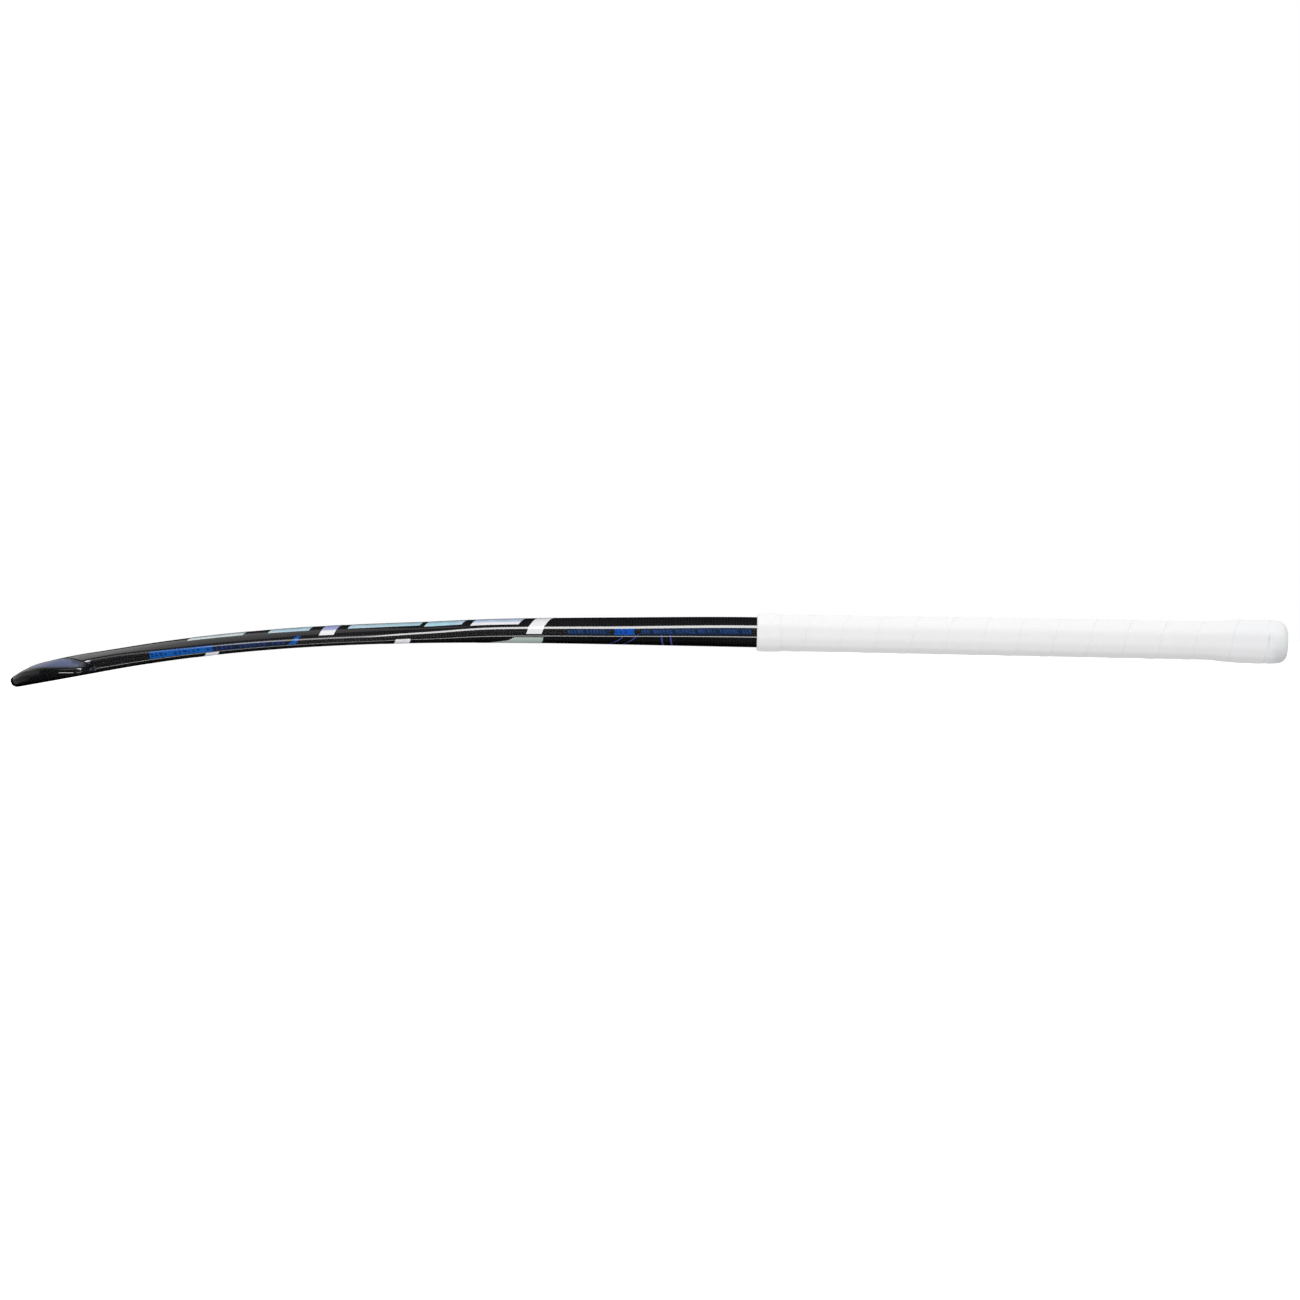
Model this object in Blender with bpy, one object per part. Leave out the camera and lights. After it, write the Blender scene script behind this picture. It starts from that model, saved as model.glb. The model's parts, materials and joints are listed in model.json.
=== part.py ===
"""Composite field hockey stick, lying on its playing face with the head at -X and the handle at +X.

The toe points to -Y and the rounded back faces +Z. Driving dimensions are in millimetres; vertices are made in metres.

Every layer is cut from one surface, described by two coordinates:
  station  place along the spine: the distance x from the bottom of the head on the shaft (50 to 927),
           50 to 0 round the bend of the head, and 0 to -50 round the tip of the toe
  girth    place around the section: 0 at the crown of the back, 1 upper edge, 2 lower edge, 3 bevel,
           4 edge of the flat face, 5 middle of the face; positive towards the toe, negative towards the heel
"""

import math

import bmesh
import bpy
from mathutils import Vector

MM = 0.001

# Overall
LENGTH = 927.0
HEAD_SLOPE, HANDLE_SLOPE = 0.1634, -0.0395  # of the face line, against the surface the stick lies on
BOW_START, BOW_END = 70.0, 461.0  # the face line bends between these

# Outline of the head, seen from above
SHAFT_HALF_WIDTH = 23.0
BEND_START = 50.0  # where the heel starts to turn: also the head's outer radius along x
HEEL_TO_TOE = 109.0
CROOK_RADIUS = 13.0
CROOK_X = 60.0  # centre of the crook's arc
TIP_X = 63.0
TIP_FLAT = 2.0  # width left at the end of the toe
LEAD_START = 110.0  # sections start to lean towards the crook here

# Sections along the shaft and round the head, as (station, millimetres)
HALF_WIDTH = ((60, 23.0), (200, 23.0), (250, 22.6), (350, 19.2), (430, 16.8), (540, 15.0), (927, 15.0))
HEIGHT = ((-50, 3.2), (-38, 4.2), (-25, 5.6), (-14, 7.0), (0, 9.2), (2.5, 11.8), (5, 13.5), (7.5, 14.2),
          (12, 14.2), (25, 13.5), (40, 14.9), (48, 15.2), (62, 14.8), (85, 14.5), (120, 14.5), (250, 14.8),
          (290, 15.2), (350, 17.3), (430, 19.5), (540, 22.0), (927, 23.5))
UPPER_EDGE = ((60, 10.5), (130, 7.6), (250, 6.1), (300, 7.9), (350, 11.1), (430, 12.4), (540, 15.2), (927, 16.0))
UPPER_EDGE_OUTSIDE = ((-50, 3.0), (-14, 4.8), (0, 5.6), (4, 7.2), (10, 10.0), (14, 10.2), (19, 8.2), (25, 6.6),
                      (38, 8.6), (60, 10.5))
UPPER_EDGE_CROOK = ((-50, 3.0), (0, 5.8), (25, 10.0), (60, 10.5))
LOWER_EDGE = ((-50, 1.2), (0, 2.3), (4, 4.2), (10, 5.6), (18, 5.2), (25, 4.4), (60, 3.2), (130, 2.6), (250, 2.3),
              (300, 2.9), (350, 4.9), (430, 5.8), (540, 7.7), (927, 8.2))
FACE_MARGIN = ((0, 2.0), (10, 3.6), (25, 3.4), (60, 2.4), (250, 2.2), (350, 5.2), (430, 7.3), (540, 9.0), (927, 9.5))
DOME_POWER = ((50, 1.7), (120, 2.2))  # of the curve from the crown to the upper edge
WALL_LEAN = 0.4  # the side wall is this much narrower at its top
BEVEL_IN, BEVEL_UP = 0.28, 0.36  # where the bevel breaks, as shares of the face margin and the lower edge

# Layers, as depths below the surface
GAP = 0.3
SKIN = 1.1
SLEEVE_OUT, SLEEVE_IN = 1.4, 2.2
CORE_OUT = 2.5
TUBE_OUT, TUBE_IN = 1.4, 2.3
PLUG_OUT = 2.6
WEB_OUT, WEB_IN, PLUG_WEB = 0.15, 0.95, 1.25  # half gap between the tubes, far side of the web, side of a plug
SLEEVE_END, CORE_END, TUBE_HEAD_END, TUBE_BUTT_END = 120.0, 118.0, 121.0, 886.0
TUBE_END_WALL = 1.2
SLEEVE_TIP, SLEEVE_TIP_INSIDE, CORE_TIP = -36.0, -27.0, -18.0
PLUG_START, PLUG_END = 884.0, 820.0
SHELL_END = 913.0

# Grip and butt
GRIP_BASE, GRIP_TOP = 0.3, 2.3  # heights of the wrap's two faces above the handle
GRIP_START, GRIP_END = 554.6, 913.0
GRIP_PITCH, GRIP_SEAM, GRIP_SCARF = 25.77, 0.3, 1.2
GRIP_PHASE = 544.7
FLARE = 1.9
FLARE_START, FLARE_END = 864.0, 896.0
SLEEVE_MIN = 0.6  # thinnest edge of the pommel sleeve
BAND_PROFILE = ((541.1, 1.4), (541.9, 2.3), (543.6, 2.8), (552.1, 2.8), (553.8, 2.5), (554.3, 2.1))
SPIGOT_DEPTH, SPIGOT_CORE_DEPTH, SPIGOT_END = 1.4, 2.4, 889.0
SPIGOT_RIB, SPIGOT_RIBS = 4.0, 3
CAP_PROFILE = ((913.3, 4.0), (917.5, 3.8), (920.8, 3.0), (923.2, 1.5), (925.0, -0.8), (926.3, -4.2), (927.0, -8.0))

# Printed films: their thickness, their height over the laminate, and how far their ends shift along the stick for
# each half width round it, on the back and on the face
FILM_GAP, FILM = 0.2, 0.15
BACK_SLANT, FACE_SLANT = -8.0, -5.0
# Distance round the section from the crown to each whole girth, in half widths of the stick
REACH = (0.0, 1.0, 1.3, 1.4, 1.65, 2.4, 3.15, 3.4, 3.5)

COLOURS = {
    "carbon": ((0.012, 0.012, 0.014), 0.18, 0.0),
    "aramid": ((0.55, 0.42, 0.10), 0.6, 0.0),
    "foam": ((0.75, 0.68, 0.45), 0.9, 0.0),
    "glass_laminate": ((0.20, 0.22, 0.16), 0.45, 0.0),
    "white_rubber": ((0.80, 0.81, 0.82), 0.5, 0.0),
    "foam_tape": ((0.25, 0.25, 0.26), 0.8, 0.0),
    "white_grip": ((0.86, 0.86, 0.86), 0.55, 0.0),
    "foil": ((0.60, 0.78, 0.86), 0.2, 0.8),
    "white_film": ((0.88, 0.90, 0.91), 0.25, 0.0),
    "blue_film": ((0.01, 0.10, 0.55), 0.2, 0.0),
    "dark_blue_film": ((0.01, 0.03, 0.14), 0.2, 0.0),
    "violet_film": ((0.08, 0.10, 0.36), 0.2, 0.2),
}

# Half section at low resolution: girths of the dome's points, then the edges with or without a chamfer
DOME_GIRTHS = (0.0, 0.25, 0.5, 0.72, 0.9)
EDGE_CUTS = ((1, 1.5), (2, 1.0), (3, 0.0), (4, 0.0))  # (girth, length of the chamfer's legs)
CUT_GIRTH = 0.08


def smooth_step(t):
    t = min(1.0, max(0.0, t))
    return t * t * (3 - 2 * t)


def through(table, x):
    """Value at x of a smooth curve, with no overshoot, through a table of (x, value)."""
    if x <= table[0][0]:
        return table[0][1]
    if x >= table[-1][0]:
        return table[-1][1]
    i = max(k for k, point in enumerate(table[:-1]) if point[0] <= x)

    def secant(k):
        (xa, ya), (xb, yb) = table[k], table[k + 1]
        return (yb - ya) / (xb - xa)

    def slope(k):
        if k in (0, len(table) - 1) or secant(k - 1) * secant(k) <= 0:
            return 0.0
        return 2 / (1 / secant(k - 1) + 1 / secant(k))

    (xa, ya), (xb, yb) = table[i], table[i + 1]
    width = xb - xa
    t = (x - xa) / width
    return ((1 + 2 * t) * (1 - t) ** 2 * ya + t * t * (3 - 2 * t) * yb
            + width * (t * (1 - t) ** 2 * slope(i) - t * t * (1 - t) * slope(i + 1)))


def face_line(x):
    """(height, slope) of the playing face at x: a straight head, a bow that eases out, a straight handle."""
    span = BOW_END - BOW_START
    turn = HEAD_SLOPE - HANDLE_SLOPE
    left = 1 - min(1.0, max(0.0, (x - BOW_START) / span))
    height = HEAD_SLOPE * min(x, BOW_START) + HANDLE_SLOPE * max(0.0, x - BOW_START)
    return height + turn * span / 3 * (1 - left**3), HANDLE_SLOPE + turn * left**2


def lay(x, y, height):
    """Point at a height above the playing face, square to it."""
    z, slope = face_line(x)
    square = math.hypot(1, slope)
    return Vector((x - height * slope / square, y, z + height / square))


def outline(station, depth):
    """The two ends of a section, seen from above: on the heel's and outer side, then on the toe's and crook side."""
    middle = SHAFT_HALF_WIDTH - HEEL_TO_TOE / 2
    crook_y = -SHAFT_HALF_WIDTH - CROOK_RADIUS
    corner = TIP_X - CROOK_X
    corner_y = crook_y - CROOK_RADIUS - corner
    outer_radius = HEEL_TO_TOE - SHAFT_HALF_WIDTH + corner_y - TIP_FLAT
    if station >= BEND_START:
        half = through(HALF_WIDTH, station) - depth
        lead = (CROOK_X - BEND_START) * smooth_step((LEAD_START - station) / (LEAD_START - BEND_START))
        return Vector((station, half)), Vector((station + lead, -half))
    if station >= 0:
        angle = math.pi * (0.5 + (BEND_START - station) / BEND_START)
        along, across = math.cos(angle), math.sin(angle)
        outside = (BEND_START + (BEND_START - depth) * along, middle + (HEEL_TO_TOE / 2 - depth) * across)
        inside = (CROOK_X + (CROOK_RADIUS + depth) * along, crook_y + (CROOK_RADIUS + depth) * across)
        return Vector(outside), Vector(inside)
    angle = -station / BEND_START * math.pi / 2
    along, across = math.sin(angle), math.cos(angle)
    outside = (BEND_START + (TIP_X - BEND_START - depth) * along,
               corner_y - TIP_FLAT - (outer_radius - depth) * across)
    inside = (CROOK_X + (corner - depth) * along, corner_y + (corner - depth) * across)
    return Vector(outside), Vector(inside)


def upper_edge(station, on_toe_side):
    if station >= BEND_START:
        return through(UPPER_EDGE, station)
    return through(UPPER_EDGE_CROOK if on_toe_side else UPPER_EDGE_OUTSIDE, station)


def half_section(half_width, top, upper, lower, margin, power, depth):
    """[(girth, distance from the middle, height)] from the crown to the middle of the face, at a depth below it."""
    top -= depth
    upper = min(upper - 0.45 * depth, top - 0.35)
    lower = min(lower + 0.45 * depth, upper - 0.25)
    margin = min(margin, 0.5 * half_width)
    lean = min(WALL_LEAN, 0.2 * half_width)
    dome = [(g, (half_width - lean) * g, upper + (top - upper) * (1 - g**power)) for g in DOME_GIRTHS]
    edges = [
        (half_width - lean, upper),
        (half_width, lower),
        (half_width - BEVEL_IN * margin, depth + (lower - depth) * BEVEL_UP),
        (half_width - margin, depth),
    ]
    line = [Vector(dome[-1][1:]), *map(Vector, edges), Vector((0.0, depth))]
    points = list(dome)
    for (girth, cut), before, corner, after in zip(EDGE_CUTS, line, line[1:], line[2:]):
        if not cut:
            points.append((girth, *corner))
            continue
        for sign, other in ((-1, before), (1, after)):
            leg = min(cut, 0.4 * (other - corner).length)
            points.append((girth + sign * CUT_GIRTH, *(corner + (other - corner).normalized() * leg)))
    return [*points, (5.0, 0.0, depth)]


def half_ring(station, depth, toe_side):
    """[(girth, distance from the middle, height)] of one side of the section, and the section's middle and side."""
    outside, inside = outline(station, depth)
    middle = (outside + inside) / 2
    half_width = (outside - inside).length / 2
    points = half_section(half_width, through(HEIGHT, station), upper_edge(station, toe_side),
                          through(LOWER_EDGE, station), through(FACE_MARGIN, station),
                          through(DOME_POWER, station), depth)
    side = ((inside if toe_side else outside) - middle).normalized()
    return points, middle, side


def ring(station, depth=0.0):
    """[(girth, point)] right round a section, from girth -5 to just short of 5."""
    made = []
    for toe_side, sign in ((False, -1), (True, 1)):
        points, middle, side = half_ring(station, depth, toe_side)
        placed = [(sign * g, lay(*(middle + side * v), h)) for g, v, h in points]
        made += placed[::-1] if sign < 0 else placed[1:-1]
    return made


def ring_points(station, depth=0.0):
    return [point for _, point in ring(station, depth)]


def tube_ring(station, depth, web, toe_side):
    """Section of one inner tube: half of the stick's section, squared off at a web beside the middle."""
    points, middle, side = half_ring(station, depth, toe_side)
    return [lay(*(middle + side * max(v, web)), h) for _, v, h in points]


def point_at(station, girth, height):
    """Point over the surface, on the same facets as the shell."""
    girth = girth - 10 if girth > 5 else girth
    around = ring(station, -height)
    around.append((5.0, around[0][1]))
    for (ga, a), (gb, b) in zip(around, around[1:]):
        if ga <= girth <= gb:
            return a.lerp(b, (girth - ga) / (gb - ga))
    raise ValueError(f"girth {girth} is off the section")


def spread(first, last, count):
    return [first + (last - first) * k / (count - 1) for k in range(count)]


# Stations of the shell's sections, from the butt to the toe
SHAFT_STATIONS = (*spread(SHELL_END, 560, 6), 500, 450, 410, 380, 355, 330, 305, 280, 250, 210, 170, 140, 120)
BEND_STATIONS = tuple(spread(50, 0, 13))
TIP_STATIONS = (-9, -18, -27, -36, -44, -50)
HEAD_STATIONS = (110, 98, 86, 74, 62, *BEND_STATIONS, *TIP_STATIONS)


def material(name):
    made = bpy.data.materials.get(name)
    if made is None:
        colour, roughness, metallic = COLOURS[name]
        made = bpy.data.materials.new(name)
        made.use_nodes = True
        shader = made.node_tree.nodes["Principled BSDF"]
        shader.inputs["Base Color"].default_value = (*colour, 1.0)
        shader.inputs["Roughness"].default_value = roughness
        shader.inputs["Metallic"].default_value = metallic
        made.diffuse_color = (*colour, 1.0)
    return made


def add_object(name, bm, material_name, parent):
    bmesh.ops.recalc_face_normals(bm, faces=bm.faces)
    mesh = bpy.data.meshes.new(name)
    bm.to_mesh(mesh)
    bm.free()
    mesh.shade_smooth()
    mesh.set_sharp_from_angle(angle=math.radians(35))
    mesh.materials.append(material(material_name))
    made = bpy.data.objects.new(name, mesh)
    bpy.context.scene.collection.objects.link(made)
    made.parent = parent
    return made


def add_ring(bm, points):
    return [bm.verts.new(point * MM) for point in points]


def skin(bm, rings):
    """Quads between each ring of vertices and the next."""
    for first, second in zip(rings, rings[1:]):
        for k in range(len(first)):
            j = (k + 1) % len(first)
            bm.faces.new((first[k], first[j], second[j], second[k]))


def solid(name, rings, material_name, parent):
    """A closed body skinned over rings of points, with a flat cap on each end."""
    bm = bmesh.new()
    loops = [add_ring(bm, points) for points in rings]
    skin(bm, loops)
    bm.faces.new(loops[0])
    bm.faces.new(loops[-1])
    return add_object(name, bm, material_name, parent)


def hollow(name, outer, inner, material_name, parent, far_end_open=False):
    """A tube between two lists of rings, open at its first end, and closed or open at its last."""
    bm = bmesh.new()
    outer_loops = [add_ring(bm, points) for points in outer]
    inner_loops = [add_ring(bm, points) for points in inner]
    skin(bm, outer_loops)
    skin(bm, inner_loops)
    skin(bm, (outer_loops[0], inner_loops[0]))
    if far_end_open:
        skin(bm, (outer_loops[-1], inner_loops[-1]))
    else:
        bm.faces.new(outer_loops[-1])
        bm.faces.new(inner_loops[-1])
    return add_object(name, bm, material_name, parent)


def facet(bm, corners):
    """Two triangles over four corners, split from the first corner to the third."""
    bm.faces.new(corners[:3])
    bm.faces.new((corners[0], *corners[2:]))


def sheet(name, under, over, material_name, parent):
    """A thin closed body between two grids of points, split along the same diagonals on both of its faces."""
    bm = bmesh.new()
    under_rows = [add_ring(bm, points) for points in under]
    over_rows = [add_ring(bm, points) for points in over]
    ends = [(under_rows[k], over_rows[k]) for k in (0, -1)]
    sides = [([row[k] for row in under_rows], [row[k] for row in over_rows]) for k in (0, -1)]
    for first, second in (*zip(under_rows, under_rows[1:]), *zip(over_rows, over_rows[1:]), *ends, *sides):
        for a, b, c, d in zip(first, first[1:], second[1:], second):
            facet(bm, (a, b, c, d))
    return add_object(name, bm, material_name, parent)


def make_shell(parent):
    stations = (*SHAFT_STATIONS, *HEAD_STATIONS)
    outer = [ring_points(s) for s in stations]
    inner = [ring_points(s, SKIN) for s in stations]
    hollow("outer_shell", outer, inner, "carbon", parent)


def make_head_fill(parent):
    """The foam core of the head and the aramid sleeve that wraps it."""

    def rings(start, tip, depth):
        return [ring_points(s, depth) for s in (start, *HEAD_STATIONS) if s >= tip]

    outer = rings(SLEEVE_END, SLEEVE_TIP, SLEEVE_OUT)
    inner = rings(SLEEVE_END, SLEEVE_TIP_INSIDE, SLEEVE_IN)
    hollow("head_aramid_sleeve", outer, inner, "aramid", parent)
    solid("head_foam_core", rings(CORE_END, CORE_TIP, CORE_OUT), "foam", parent)


def make_tubes(parent):
    """Two laminate tubes side by side, whose flat walls make the web of the shaft, each with a foam plug."""
    between = [s for s in SHAFT_STATIONS if TUBE_HEAD_END < s < TUBE_BUTT_END]
    stations = (TUBE_BUTT_END, *between, TUBE_HEAD_END)
    inner_stations = (*stations[:-1], TUBE_HEAD_END + TUBE_END_WALL)
    for side, toe_side in (("heel", False), ("toe", True)):
        outer = [tube_ring(s, TUBE_OUT, WEB_OUT, toe_side) for s in stations]
        inner = [tube_ring(s, TUBE_IN, WEB_IN, toe_side) for s in inner_stations]
        hollow(f"{side}_side_tube", outer, inner, "glass_laminate", parent)
        plug = [tube_ring(s, PLUG_OUT, PLUG_WEB, toe_side) for s in spread(PLUG_START, PLUG_END, 3)]
        solid(f"{side}_tube_plug", plug, "foam", parent)


def flare(station):
    return FLARE * smooth_step((station - FLARE_START) / (FLARE_END - FLARE_START))


def make_butt(parent):
    """The end cap, whose ribbed spigot fits the open end of the shell, and the foam sleeve that makes the pommel."""
    rib_span = (SHELL_END - SPIGOT_END) / SPIGOT_RIBS
    profile = []
    for k in range(SPIGOT_RIBS):
        start = SPIGOT_END + k * rib_span
        profile += [(start, -SPIGOT_DEPTH), (start + SPIGOT_RIB, -SPIGOT_DEPTH),
                    (start + SPIGOT_RIB, -SPIGOT_CORE_DEPTH), (start + rib_span, -SPIGOT_CORE_DEPTH)]
    profile[-1] = (CAP_PROFILE[0][0], -SPIGOT_CORE_DEPTH)
    solid("butt_cap", [ring_points(s, -h) for s, h in (*profile, *CAP_PROFILE)], "white_rubber", parent)

    stations = [s for s in spread(FLARE_START, SHELL_END, 14) if flare(s) >= SLEEVE_MIN]
    outer = [ring_points(s, -flare(s)) for s in stations]
    inner = [ring_points(s, -GAP) for s in stations]
    hollow("pommel_sleeve", outer, inner, "foam_tape", parent, far_end_open=True)


def make_finishing_band(parent):
    outer = [ring_points(s, -h) for s, h in BAND_PROFILE]
    inner = [ring_points(s, -GAP) for s, _ in BAND_PROFILE]
    hollow("finishing_band", outer, inner, "white_grip", parent, far_end_open=True)


def make_grip(parent):
    """One strip wound round the handle. Its edges are cut aslant, so each turn laps the next."""
    per_turn = len(ring(GRIP_START))
    turns = math.ceil((GRIP_END - GRIP_PHASE) / GRIP_PITCH) + 2
    sections = []
    for k in range(turns * per_turn):
        low = GRIP_PHASE - GRIP_PITCH + GRIP_PITCH * k / per_turn
        high = low + GRIP_PITCH - GRIP_SEAM
        under = [(place, GRIP_BASE) for place in spread(low, high, 3)]
        over = [(place + GRIP_SCARF, GRIP_TOP) for place, _ in under]
        corners = []
        for place, lift in (*under, *over[::-1]):
            station = min(GRIP_END, max(GRIP_START, place))
            corners.append(ring_points(station, -lift - flare(station))[-k % per_turn])
        if high > GRIP_START + GRIP_SCARF and low < GRIP_END - 2 * GRIP_SCARF:
            sections.append(corners)
    solid("grip_wrap", sections, "white_grip", parent)


def reach(girth):
    """Distance round the section from the crown, in half widths of the stick."""
    k = min(int(abs(girth)), len(REACH) - 2)
    distance = REACH[k] + (REACH[k + 1] - REACH[k]) * (abs(girth) - k)
    return math.copysign(distance, girth)


def make_film(name, material_name, parent, girths, stations, slants=(0.0, 0.0)):
    """A thin printed film over the surface.

    girths is (near, far) and stations is (start, end) along the near side; slants are the shifts of the two ends for
    each half width round the stick."""
    near = girths[0]
    first, last = sorted(girths)
    edges = [g for g, _ in ring(400)]
    between = [g for g in (*edges, *(g + 10 for g in edges)) if first < g < last]
    around = [first, *between, last]
    start, end = stations
    between = [s for s in (*SHAFT_STATIONS, *HEAD_STATIONS) if min(stations) + 1 < s < max(stations) - 1]
    under, over = [], []
    for station in (start, *sorted(between, reverse=start > end), end):
        share = (station - start) / (end - start)
        slant = slants[0] + (slants[1] - slants[0]) * share
        places = [(station + slant * (reach(g) - reach(near)), g) for g in around]
        under.append([point_at(s, g, FILM_GAP) for s, g in places])
        over.append([point_at(s, g, FILM_GAP + FILM) for s, g in places])
    sheet(name, under, over, material_name, parent)


def make_films(parent):
    """The printed transfers, which lie between the laminate and its lacquer."""
    back = (BACK_SLANT, BACK_SLANT)
    face = (FACE_SLANT, FACE_SLANT)
    crown_bars = (
        ((0.58, -0.6), (128.6, 168.8)),
        ((0.60, -0.6), (186.8, 216.3)),
        ((0.60, -0.6), (244.4, 296.4)),
        ((0.71, -0.4), (299.6, 326.7)),
        ((0.84, 0.1), (332.9, 368.0)),
    )
    for k, (girths, stations) in enumerate(crown_bars, 1):
        make_film(f"crown_bar_{k}", "foil", parent, girths, stations, back)
    make_film("lower_white_band", "white_film", parent, (0.90, -0.9), (223.4, 234.2), back)
    make_film("upper_white_band", "white_film", parent, (1.78, -0.9), (373.5, 384.7), back)
    make_film("side_label", "blue_film", parent, (1.98, 1.14), (100.3, 146.8))
    make_film("side_dash_strip", "dark_blue_film", parent, (1.96, 1.18), (147.8, 199.0))
    make_film("side_slash", "blue_film", parent, (2.0, 0.88), (200.2, 206.2), (-17.8, -10.7))
    make_film("side_spec_tag", "dark_blue_film", parent, (1.84, 1.22), (403.5, 434.0))
    make_film("side_spec_block", "blue_film", parent, (1.84, 1.22), (437.6, 452.1))
    make_film("side_spec_strip", "dark_blue_film", parent, (1.84, 1.22), (457.2, 537.0))
    make_film("face_bar_1", "white_film", parent, (2.3, 7.7), (141.3, 150.8), face)
    make_film("face_bar_2", "white_film", parent, (1.9, 8.1), (279.0, 289.9), face)
    make_film("face_bar_3", "white_film", parent, (2.3, 7.7), (345.0, 386.0), (-20.0, FACE_SLANT))
    make_film("toe_patch", "violet_film", parent, (-0.10, -0.93), (24.0, 0.0), (14.0, 0.0))


def main():
    for old in list(bpy.data.objects):
        bpy.data.objects.remove(old)
    stick = bpy.data.objects.new("stick", None)
    bpy.context.scene.collection.objects.link(stick)
    make_shell(stick)
    make_head_fill(stick)
    make_tubes(stick)
    make_butt(stick)
    make_finishing_band(stick)
    make_grip(stick)
    make_films(stick)

    # The origin is the middle of the footprint, on the surface that the stick lies on
    corners = [Vector(c) for made in stick.children for c in made.bound_box]
    low = Vector(min(c[k] for c in corners) for k in range(3))
    high = Vector(max(c[k] for c in corners) for k in range(3))
    stick.location = (-(low.x + high.x) / 2, -(low.y + high.y) / 2, -low.z)


main()
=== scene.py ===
"""Looks of the field hockey stick: fine surfaces, printed films, the wound grip, materials and the studio.

The stick has its own coordinates, as in its design: a station along it and a girth round its section.
Station is in millimetres: from 50 up the shaft, from 50 to 0 round the bend of the head, and from 0 to -50
round the toe. Girth is 0 at the crown of the back, 1 upper edge, 2 lower edge, 3 bevel, 4 edge of the face, 5
middle of the face, positive on the toe's side and negative on the heel's.
"""

import json
import math

import bpy
import numpy as np
from mathutils import Matrix, Vector


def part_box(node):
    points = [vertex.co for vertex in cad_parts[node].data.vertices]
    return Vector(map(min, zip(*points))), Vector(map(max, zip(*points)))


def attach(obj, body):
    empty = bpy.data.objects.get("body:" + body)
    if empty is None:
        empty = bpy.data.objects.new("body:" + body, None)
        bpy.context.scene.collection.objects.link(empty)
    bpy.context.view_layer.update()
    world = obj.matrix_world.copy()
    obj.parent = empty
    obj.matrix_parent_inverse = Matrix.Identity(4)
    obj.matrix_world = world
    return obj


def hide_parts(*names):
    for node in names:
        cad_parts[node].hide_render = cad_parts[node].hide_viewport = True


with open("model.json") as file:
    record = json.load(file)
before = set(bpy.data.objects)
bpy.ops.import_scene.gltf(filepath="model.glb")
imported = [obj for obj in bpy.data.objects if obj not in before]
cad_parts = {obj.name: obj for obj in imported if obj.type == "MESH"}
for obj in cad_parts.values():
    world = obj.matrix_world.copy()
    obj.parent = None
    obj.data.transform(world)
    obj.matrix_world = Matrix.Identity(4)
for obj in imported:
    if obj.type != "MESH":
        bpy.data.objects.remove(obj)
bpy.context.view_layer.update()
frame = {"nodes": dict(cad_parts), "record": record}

MM = 0.001

# The design's driving dimensions, in millimetres
HEAD_SLOPE, HANDLE_SLOPE = 0.1634, -0.0395
BOW_START, BOW_END = 70.0, 461.0
SHAFT_HALF_WIDTH = 23.0
BEND_START = 50.0
HEEL_TO_TOE = 109.0
CROOK_RADIUS = 13.0
CROOK_X = 60.0
TIP_X = 63.0
TIP_FLAT = 2.0
LEAD_START = 110.0
HALF_WIDTH = ((60, 23.0), (200, 23.0), (250, 22.6), (350, 19.2), (430, 16.8), (540, 15.0), (927, 15.0))
HEIGHT = ((-50, 3.2), (-38, 4.2), (-25, 5.6), (-14, 7.0), (0, 9.2), (2.5, 11.8), (5, 13.5), (7.5, 14.2),
          (12, 14.2), (25, 13.5), (40, 14.9), (48, 15.2), (62, 14.8), (85, 14.5), (120, 14.5), (250, 14.8),
          (290, 15.2), (350, 17.3), (430, 19.5), (540, 22.0), (927, 23.5))
UPPER_EDGE = ((60, 10.5), (130, 7.6), (250, 6.1), (300, 7.9), (350, 11.1), (430, 12.4), (540, 15.2),
              (927, 16.0))
UPPER_EDGE_OUTSIDE = ((-50, 3.0), (-14, 4.8), (0, 5.6), (4, 7.2), (10, 10.0), (14, 10.2), (19, 8.2),
                      (25, 6.6), (38, 8.6), (60, 10.5))
UPPER_EDGE_CROOK = ((-50, 3.0), (0, 5.8), (25, 10.0), (60, 10.5))
LOWER_EDGE = ((-50, 1.2), (0, 2.3), (4, 4.2), (10, 5.6), (18, 5.2), (25, 4.4), (60, 3.2), (130, 2.6),
              (250, 2.3), (300, 2.9), (350, 4.9), (430, 5.8), (540, 7.7), (927, 8.2))
FACE_MARGIN = ((0, 2.0), (10, 3.6), (25, 3.4), (60, 2.4), (250, 2.2), (350, 5.2), (430, 7.3), (540, 9.0),
               (927, 9.5))
DOME_POWER = ((50, 1.7), (120, 2.2))  # of the curve from the crown to the upper edge
WALL_LEAN = 0.4  # the side wall is this much narrower at its top
BEVEL_IN, BEVEL_UP = 0.28, 0.36  # where the bevel breaks, as shares of the face margin and the lower edge
EDGE_SHIFT = 0.45  # an edge of a layer moves by this share of the layer's depth
DOME_LEAST, WALL_LEAST = 0.35, 0.25  # least heights of the dome and of the side wall
MARGIN_MOST, LEAN_MOST = 0.5, 0.2  # most that the face margin and the wall's lean take of the half width
TIP_END, SHELL_END, BUTT_END = -50.0, 913.0, 927.0
GRIP_START, GRIP_END, GRIP_TOP = 554.6, 913.0, 2.3
GRIP_PITCH, GRIP_PHASE = 25.77, 544.7
FLARE, FLARE_START, FLARE_END = 1.9, 864.0, 896.0
BUTT_DISC_DEPTH = 8.0  # depth below the surface of the flat disc that ends the cap

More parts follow.
